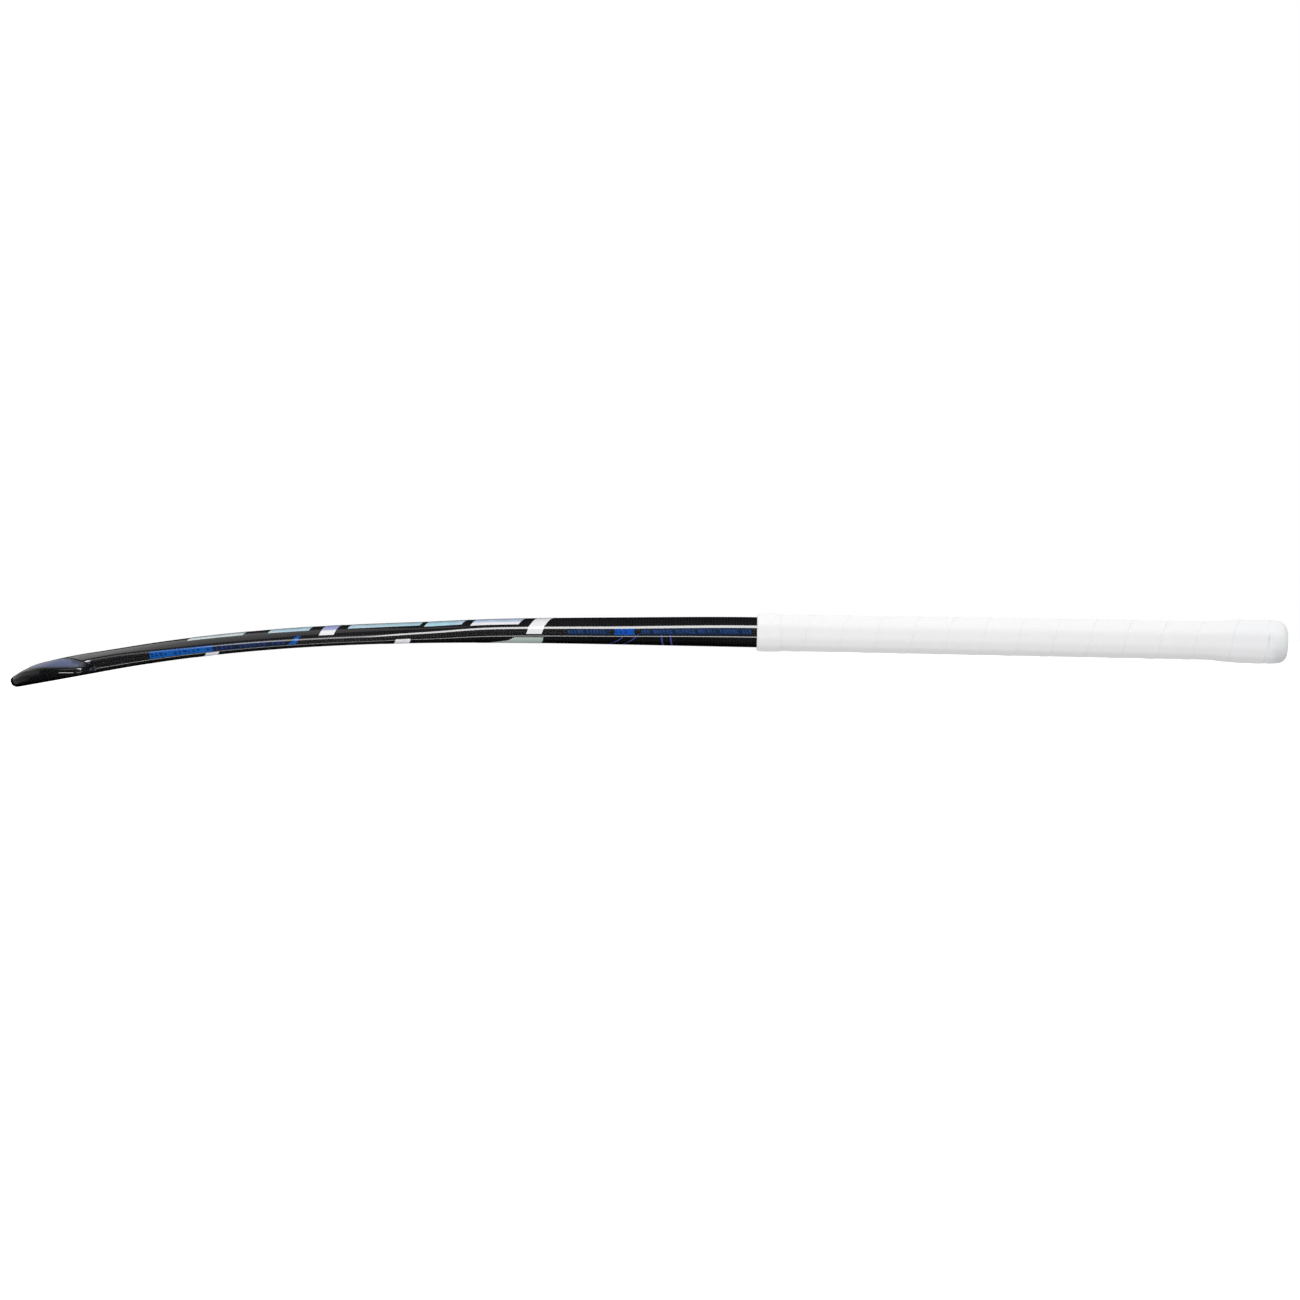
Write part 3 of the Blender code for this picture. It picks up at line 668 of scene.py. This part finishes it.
def foam_material(name, colour, cell):
    """Closed-cell foam: cut cells of about a cell's width in millimetres."""
    paint = Paint(name, specular_ior_level=0.2)
    cells = paint.cells(cell)
    walls = paint.scaled(cells, 0.1, 0.6, 0.75, 1.08)
    paint.finish(paint.shaded(colour, walls), paint.scaled(cells, 0.0, 0.8, 0.95, 0.75))
    paint.bump(cells, 0.3 * cell, 0.7)
    return paint.material


# ---------------- pieces

def ring_girths():
    """Girths right round the section, from the middle of the face over the heel side and the crown."""
    half = SECTION_GIRTHS
    return np.concatenate([-half[::-1], half[1:-1]])


WEAVE_OFFSET = (0.0, 400.0)  # of the face's ply, so that its pattern doesn't repeat the back's
SHELL_ROWS = (200, 30, 64, 36)  # sections along the shaft, into the bend, round the bend and round the toe


def with_weave(back, face, girth, faces):
    """Cloth coordinates at each face's corners: the back's ply above the seam, the face's ply below it."""
    girth = np.abs(girth.ravel()[faces])
    girth = np.where(girth > FACE_MIDDLE, 2 * FACE_MIDDLE - girth, girth)
    below = (girth.mean(axis=1) > WEAVE_SEAM)[:, None, None]
    chosen = np.where(below, face.reshape(-1, 2)[faces] + WEAVE_OFFSET, back.reshape(-1, 2)[faces])
    return np.concatenate([chosen, np.zeros((*chosen.shape[:2], 1))], axis=-1)


def make_shell(material):
    shaft, lead, bend, toe = SHELL_ROWS
    stations = np.concatenate([
        np.linspace(SHELL_END, LEAD_START, shaft)[:-1],
        np.linspace(LEAD_START, BEND_START, lead)[:-1],
        np.linspace(BEND_START, 0, bend)[:-1],
        TIP_END * np.sin(np.linspace(0, np.pi / 2, toe)),
    ])
    girths = ring_girths()
    s, g = np.meshgrid(stations, girths, indexing="ij")
    points, back, face = surface(s, g, 0.0)
    faces = grid_faces(len(stations), len(girths), closed=True)
    weave = with_weave(back, face, g, faces)
    flat = np.concatenate([back.reshape(-1, 2), np.zeros((back.size // 2, 1))], axis=-1)
    place = np.stack([s, g, 0 * s], axis=-1).reshape(-1, 3)
    data = {"weave": (weave, flat), "print": (place[faces], place)}
    points, faces, data = capped(placed(points).reshape(-1, 3), faces, len(stations), len(girths), data)
    return new_piece("carbon_shell", points, faces, material, ["outer_shell"], data,
                     smooth_angle=60)


FILM_UNDER, FILM_OVER = 0.02, 0.10  # heights of a film's two faces over the laminate
FILM_STEP = 1.6  # length of a film's quads along the stick, on the shaft
FILM_ROWS_LEAST, HEAD_FINER = 6, 3  # least rows of a film, and how many times more it has on the head
GIRTH_GAP = 0.01  # least girth between a film's edge and its next points
REACH = ((0, 0.0), (1, 1.0), (2, 1.3), (3, 1.4), (4, 1.65), (5, 2.4), (6, 3.15), (7, 3.4), (8, 3.5))


def reach(girth):
    """Distance round the section from the crown, roughly, in half widths of the stick."""
    girths, distances = zip(*REACH)
    return np.sign(girth) * np.interp(np.abs(girth), girths, distances)


def make_film(name, material, girths, stations, slants=(0.0, 0.0), kink=None):
    """A printed film. girths and stations are (near, far) and (start, end), the stations at the near girth.

    The slants of its two ends are how far they shift along the stick for each half width round it. Past the
    kink's girth, the start is shifted at the end's slant."""
    near, far = girths
    first, last = min(girths), max(girths)
    full = np.concatenate([ring_girths(), 2 * FACE_MIDDLE + ring_girths()])
    between = full[(full > first + GIRTH_GAP) & (full < last - GIRTH_GAP)]
    around = np.concatenate([[first], between, [last]])
    count = max(FILM_ROWS_LEAST, round(abs(stations[1] - stations[0]) / FILM_STEP) + 1)
    if min(stations) < BEND_START:
        count *= HEAD_FINER
    along, g = np.meshgrid(np.linspace(0, 1, count), around, indexing="ij")
    shift = reach(g) - reach(near)
    bent = shift if kink is None else np.minimum(shift, reach(kink) - reach(near))
    start = stations[0] + slants[0] * bent + slants[1] * (shift - bent)
    end = stations[1] + slants[1] * shift
    s = start + (end - start) * along
    under = surface(s, g, FILM_UNDER)[0]
    over = surface(s, g, FILM_OVER)[0]
    rings = np.concatenate([under, over[:, ::-1]], axis=1)
    share = (g - near) / (far - near)
    marks_at = np.stack([s, share, along], axis=-1)
    marks_at = np.concatenate([marks_at, marks_at[:, ::-1]], axis=1)
    rows, across = rings.shape[:2]
    points = placed(rings).reshape(-1, 3)
    faces = np.vstack([grid_faces(rows, across, closed=True), *folded_ends(rows, across)])
    data = {"print": marks_at.reshape(-1, 3)[faces]}
    return new_piece(name + "_print", points, faces, material, [name], data)


def flare(station):
    return FLARE * smooth_step((station - FLARE_START) / (FLARE_END - FLARE_START))


HANDLE_STATION = 700.0  # where the section stands for the whole handle's
GRIP_LAP = 3.2  # each turn laps over the last by this much
# The laps stand out more where the hands pull on them less: (share, station where it starts, length)
LAP_GROWTH, LAP_GROWTH_START, LAP_GROWTH_LENGTH = 0.3, 715.0, 80.0
LAP_START, LAP_END = 0.05, 0.9  # shares of the pitch between which the strip lies flat
GRIP_AROUND, TURNED_AROUND = 88, 120  # points round the handle, for the grip and for the tape and the cap
GRIP_SHORTEST, GRIP_LAST = 0.5, 0.05  # least of a turn that shows at the grip's start, and at its end
# Sideways wander of the wound strip's edges: (most of it in millimetres, points it is smoothed over, seed)
WOBBLE, WOBBLE_SPAN, WOBBLE_SEED = 0.5, 61, 7
# Across the strip: (share of the pitch, height against the grip's top), over the outside and back inside
GRIP_OUTSIDE = (
    (0.0, -0.34), (0.006, -0.30), (0.018, -0.27), (0.04, -0.24), (0.09, -0.20), (0.20, -0.15), (0.35, -0.12),
    (0.50, -0.12), (0.65, -0.14), (0.78, -0.14), (1.0 - GRIP_LAP / GRIP_PITCH, -0.10), (0.93, -0.02),
    (0.97, 0.06), (0.986, 0.04), (0.995, -0.06), (1.0, -0.22))
GRIP_INSIDE = ((1.0, -1.1), (0.66, -1.75), (0.33, -1.75), (0.0, -1.1))


def handle_girths(count):
    """Girths spaced evenly round the handle's section, starting at the middle of the face."""
    girths = ring_girths()
    points = surface(HANDLE_STATION, girths, 0.0)[0]
    points = np.vstack([points, points[:1]])
    arc = np.concatenate([[0], np.cumsum(np.linalg.norm(np.diff(points, axis=0), axis=1))])
    girths = np.concatenate([girths, [FACE_MIDDLE]])
    return np.interp(np.linspace(0, arc[-1], count + 1)[:-1], arc, girths)


def make_grip(material):
    """The wound strip. Its edge towards the butt laps over the start of the next turn."""
    girths = handle_girths(GRIP_AROUND)
    turns = math.ceil((GRIP_END - GRIP_PHASE) / GRIP_PITCH) + 2
    steps = turns * GRIP_AROUND
    wobble = np.cumsum(np.random.default_rng(WOBBLE_SEED).normal(size=steps))
    kernel = np.hanning(WOBBLE_SPAN)
    wobble = np.convolve(wobble - np.linspace(wobble[0], wobble[-1], steps), kernel / kernel.sum(), "same")
    wobble = WOBBLE * wobble / np.abs(wobble).max()
    rows, wraps = [], []
    for k in range(steps):
        low = GRIP_PHASE - GRIP_PITCH + GRIP_PITCH * k / GRIP_AROUND
        if low + GRIP_PITCH < GRIP_START + GRIP_SHORTEST or low > GRIP_END - GRIP_LAST:
            continue
        shifts = (wobble[k], wobble[min(k + GRIP_AROUND, steps - 1)])
        row, wrap = [], []
        for share, lift in (*GRIP_OUTSIDE, *GRIP_INSIDE):
            place = low + GRIP_PITCH * share + shifts[0] * (1 - share) + shifts[1] * share
            if share < LAP_START or LAP_END < share:
                lift *= 1 + LAP_GROWTH * smooth_step((place - LAP_GROWTH_START) / LAP_GROWTH_LENGTH)
            # the first and the last turn are trimmed square, at the tape and at the cap
            trimmed = min(GRIP_END, max(GRIP_START, place))
            row.append((trimmed, girths[-k % GRIP_AROUND], GRIP_TOP + lift))
            wrap.append((k / GRIP_AROUND, share, 0.0))
        rows.append(row)
        wraps.append(wrap)
    station, girth, height = np.moveaxis(np.array(rows), -1, 0)
    points = placed(surface(station, girth, height + flare(station))[0]).reshape(-1, 3)
    count, across = station.shape
    faces = np.vstack([grid_faces(count, across, closed=True), *folded_ends(count, across)])
    data = {"wrap": np.array(wraps).reshape(-1, 3)[faces]}
    return new_piece("grip_strip", points, faces, material, ["grip_wrap"], data,
                     smooth_angle=50)


def make_turned(name, node, material, profile, closed_end):
    """A sleeve or cap round the handle, from a list of (station, height over the handle)."""
    stations, heights = np.array(profile).T
    girths = handle_girths(TURNED_AROUND)
    s, g = np.meshgrid(stations, girths, indexing="ij")
    h = np.broadcast_to(heights[:, None], s.shape)
    points = placed(surface(s, g, h)[0]).reshape(-1, 3)
    rows, columns = s.shape
    share = np.broadcast_to(np.linspace(0, 1, rows)[:, None], s.shape)
    wrap = np.stack([g, share, np.zeros_like(s)], axis=-1).reshape(-1, 3)
    faces = grid_faces(rows, columns, closed=True)
    if closed_end:
        points, faces, data = capped(points, faces, rows, columns, {"wrap": (wrap[faces], wrap)})
    else:
        k = np.arange(columns)
        after, last = (k + 1) % columns, (rows - 1) * columns
        faces = np.vstack([faces, np.stack([last + k, last + after, after, k], axis=-1)])
        data = {"wrap": wrap[faces]}
    return new_piece(name, points, faces, material, [node], data, smooth_angle=50)


def rounded_profile(points, rounds=3):
    """A smooth open curve through the corners' mid points, by cutting corners again and again."""
    points = np.array(points, float)
    for _ in range(rounds):
        low = points[:-1] * 0.75 + points[1:] * 0.25
        high = points[:-1] * 0.25 + points[1:] * 0.75
        points = np.vstack([points[:1], np.stack([low, high], axis=1).reshape(-1, 2), points[-1:]])
    return points


def make_band(material):
    outer = rounded_profile([(541.0, 0.9), (541.2, 2.0), (542.6, 2.75), (546.5, 2.85), (551.0, 2.85),
                             (554.5, 2.75), (557.2, 2.6), (557.8, 2.48)])
    inner = [(557.7, 2.41), (554.4, 2.41), (554.3, 0.35), (541.1, 0.35)]
    return make_turned("finishing_tape", "finishing_band", material, [*outer, *inner],
                       closed_end=False)


def make_cap(material):
    inside = [(889.0, -2.4), (912.8, -2.4), (913.01, -1.0)]
    outer = rounded_profile([(913.01, 4.08), (914.4, 4.12), (918.0, 3.9), (921.6, 3.3), (924.0, 1.8),
                             (925.8, -0.6), (926.8, -4.4), (BUTT_END, -BUTT_DISC_DEPTH)])
    return make_turned("butt_dome", "butt_cap", material, [*inside, *outer], closed_end=True)


BACK_SLANT, FACE_SLANT = -8.0, -5.0  # of a film's ends, in millimetres for each half width round the stick


def make_films():
    foil = foil_material()
    bright = (0.88, 0.88, 0.90)
    lower_white = white_film_material("lower_white_print", bright, (0.42, 0.45, 0.75), 0.12)
    upper_white = white_film_material("upper_white_print", bright, (0.70, 0.71, 0.72), 0.80)
    face_white = white_film_material("face_bar_print", (0.80, 0.82, 0.85), bright, 0.5)
    face_green = white_film_material("face_bar_green_print", (0.50, 0.58, 0.54), (0.56, 0.63, 0.60), 0.5)
    label = print_material("blue_label_print", (0.0012, 0.098, 0.41), (0.001, 0.022, 0.15), 3.4)
    block = print_material("blue_block_print", (0.0008, 0.080, 0.44), (0.001, 0.030, 0.20), 3.4)
    outlined = print_material("outlined_strip_print", (0.007, 0.013, 0.035), (0.012, 0.035, 0.16), 3.4,
                              rule=(0.018, 0.040, 0.15))
    slash = print_material("blue_slash_print", (0.004, 0.095, 0.36), (0.004, 0.07, 0.30), 3.0, 0.0, 1.0)
    spec = print_material("spec_row_print", (0.006, 0.020, 0.058), (0.018, 0.060, 0.21), 2.3, 0.22, 0.80)
    back = (BACK_SLANT, BACK_SLANT)
    face = (FACE_SLANT, FACE_SLANT)
    crown_bars = (((0.58, -0.6), (128.6, 168.8)), ((0.60, -0.6), (186.8, 216.3)),
                  ((0.60, -0.6), (244.4, 296.4)), ((0.71, -0.4), (299.6, 326.7)),
                  ((0.84, 0.1), (332.9, 368.0)))
    for k, (girths, stations) in enumerate(crown_bars, 1):
        make_film(f"crown_bar_{k}", foil, girths, stations, back)
    make_film("lower_white_band", lower_white, (0.90, -0.9), (223.4, 234.2), back)
    make_film("upper_white_band", upper_white, (1.78, -0.9), (373.5, 384.7), back)
    make_film("side_label", label, (1.98, 1.14), (100.3, 146.8))
    make_film("side_dash_strip", outlined, (1.96, 1.18), (147.8, 199.0))
    make_film("side_slash", slash, (2.0, 0.88), (200.2, 206.2), (-17.8, -10.7))
    make_film("side_spec_tag", spec, (1.84, 1.22), (403.5, 434.0))
    make_film("side_spec_block", block, (1.84, 1.22), (437.6, 452.1))
    make_film("side_spec_strip", spec, (1.84, 1.22), (457.2, 537.0))
    make_film("face_bar_1", face_white, (2.3, 7.7), (141.3, 150.8), face)
    make_film("face_bar_2", face_white, (1.9, 8.1), (279.0, 289.9), face)
    make_film("face_bar_3", face_green, (2.3, 7.7), (365.0, 386.0), (-62.0, FACE_SLANT),
              kink=4.0)
    make_film("toe_patch", toe_film_material(), (-0.10, -0.93), (24.0, -20.0), (14.0, 0.0))


def dress_inner_parts():
    """Layers inside the stick keep their solids and get their own finish."""
    aramid = woven_material("aramid_cloth", (0.62, 0.46, 0.10), (0.48, 0.34, 0.07), 2.6, 0.6)
    glass = woven_material("glass_cloth", (0.24, 0.26, 0.19), (0.17, 0.19, 0.14), 1.2, 0.45)
    core = foam_material("core_foam_cells", (0.75, 0.66, 0.42), 0.9)
    pommel = foam_material("pommel_foam_cells", (0.22, 0.22, 0.23), 0.5)
    finishes = {aramid: ("head_aramid_sleeve",), glass: ("heel_side_tube", "toe_side_tube"),
                core: ("head_foam_core", "heel_tube_plug", "toe_tube_plug"), pommel: ("pommel_sleeve",)}
    for material, nodes in finishes.items():
        for node in nodes:
            for slot in frame["nodes"][node].material_slots:
                slot.material = material


# ---------------- studio

LIGHT_BELOW = 0.70  # radiance that reaches matt surfaces from below, against 1 from above
HORIZON = (-0.15, -0.02)  # heights of the direction of view between which one gives way to the other
FLOOR_REACH, FLOOR_DROP = 60.0, 0.0005  # metres
AIM_HEIGHT = 0.02  # that the lights point at, on the stick's long axis
# Lights that only reflections see: (name, place, x they point at, size, radiance)
REFLECTED_LIGHTS = (
    ("key_strip", (0.62, -1.05, 1.15), 0.62, (1.65, 1.2), 15.0),
    ("middle_strip", (-0.32, -1.05, 1.15), -0.30, (0.24, 1.2), 6.0),
    ("head_strip", (-0.85, -1.05, 1.15), -0.80, (0.80, 1.2), 1.2),
    ("low_strip", (0.45, -1.6, -0.75), 0.45, (1.6, 0.4), 10.0),
    ("low_head_strip", (-0.32, -1.6, -0.75), -0.32, (0.30, 0.4), 2.5),
    ("toe_strip", (-1.08, -1.7, -0.32), -0.55, (0.84, 0.45), 15.0),
    ("back_panel", (-0.93, 1.15, 1.0), -0.5, (1.14, 2.0), 0.42),
    ("nose_panel", (-2.0, 0.55, 0.6), -0.45, (3.0, 1.5), 0.42),
    ("low_nose_panel", (-2.0, 0.55, -0.50), -0.45, (3.0, 0.7), 0.13),
)
CAMERA_DISTANCE = 12.0
VIEW_ROLL = 1.07  # degrees, the head lower in the picture than the butt
PICTURE_WIDTH = 0.9435  # of the plane through the stick
AIM = Vector((0.0, 0.005, 0.01845))


def area_light(name, place, aim, size, radiance, glossy=True, diffuse=True):
    """A rectangular soft light with the given radiance, pointed at the long axis at x = aim."""
    light = bpy.data.lights.new(name, "AREA")
    light.shape = "RECTANGLE"
    light.size, light.size_y = size
    light.energy = radiance * math.pi * size[0] * size[1]
    made = linked(name, light)
    made.location = place
    towards = Vector((aim, 0.0, AIM_HEIGHT)) - Vector(place)
    made.rotation_euler = towards.to_track_quat("-Z", "Y").to_euler()
    made.visible_camera = False
    made.visible_glossy = glossy
    made.visible_diffuse = diffuse


def make_world():
    """White for the camera, a little darker from below for matt surfaces, and unseen by glossy ones."""
    world = bpy.data.worlds.new("studio")
    bpy.context.scene.world = world
    world.use_nodes = True
    tree = world.node_tree
    direction = tree.nodes.new("ShaderNodeTexCoord").outputs["Generated"]
    split = tree.nodes.new("ShaderNodeSeparateXYZ")
    tree.links.new(direction, split.inputs[0])
    by_height = tree.nodes.new("ShaderNodeMapRange")
    tree.links.new(split.outputs["Z"], by_height.inputs["Value"])
    for name, value in zip(("From Min", "From Max", "To Min", "To Max"), (*HORIZON, LIGHT_BELOW, 1.0)):
        by_height.inputs[name].default_value = value
    background = tree.nodes["Background"].inputs
    tree.links.new(by_height.outputs["Result"], background["Strength"])
    background["Color"].default_value = (1.0, 1.0, 1.0, 1.0)
    world.cycles_visibility.glossy = False


def make_floor():
    """Pale paper, lit through from below, so that only the faintest shadow shows on it."""
    mesh = bpy.data.meshes.new("studio_floor")
    corners = [(x * FLOOR_REACH, y * FLOOR_REACH, 0) for x, y in ((-1, -1), (1, -1), (1, 1), (-1, 1))]
    mesh.from_pydata(corners, [], [(0, 1, 2, 3)])
    paint = Paint("studio_floor_paper", roughness=0.9, specular_ior_level=0.0, emission_strength=0.9)
    grain = paint.drifting(0.02, 0.30, 0.34, 3.0)
    paint.set("Base Color", paint.vector(grain, grain, grain))
    paint.set("Emission Color", (1.0, 1.0, 1.0))
    mesh.materials.append(paint.material)
    floor = linked("studio_floor", mesh)
    floor.location.z = -FLOOR_DROP
    floor.visible_glossy = False
    floor.visible_diffuse = False


def make_camera():
    """A long lens from far off, square to the toe's side."""
    data = bpy.data.cameras.new("camera")
    data.sensor_width = 36.0
    data.lens = data.sensor_width * CAMERA_DISTANCE / PICTURE_WIDTH
    data.clip_end = 60.0
    camera = linked("camera", data)
    ahead = Vector((0.0, 1.0, 0.0))
    camera.location = AIM - ahead * CAMERA_DISTANCE
    facing = ahead.to_track_quat("-Z", "Y").to_matrix()
    camera.rotation_euler = (facing @ Matrix.Rotation(-math.radians(VIEW_ROLL), 3, "Z")).to_euler()
    bpy.context.scene.camera = camera


def make_lights():
    """Strips for the lacquer's highlight lines, dim panels for its broad reflections, and a soft key."""
    for light in REFLECTED_LIGHTS:
        area_light(*light, diffuse=False)
    area_light("key", (0.0, -2.2, 2.0), 0.0, (3.0, 1.6), 0.65, glossy=False)


def main():
    make_camera()
    make_shell(carbon_material())
    make_films()
    make_grip(grip_material())
    make_band(tape_material())
    make_cap(cap_material())
    dress_inner_parts()
    make_world()
    make_floor()
    make_lights()
    bpy.context.scene.view_settings.view_transform = "Standard"


main()
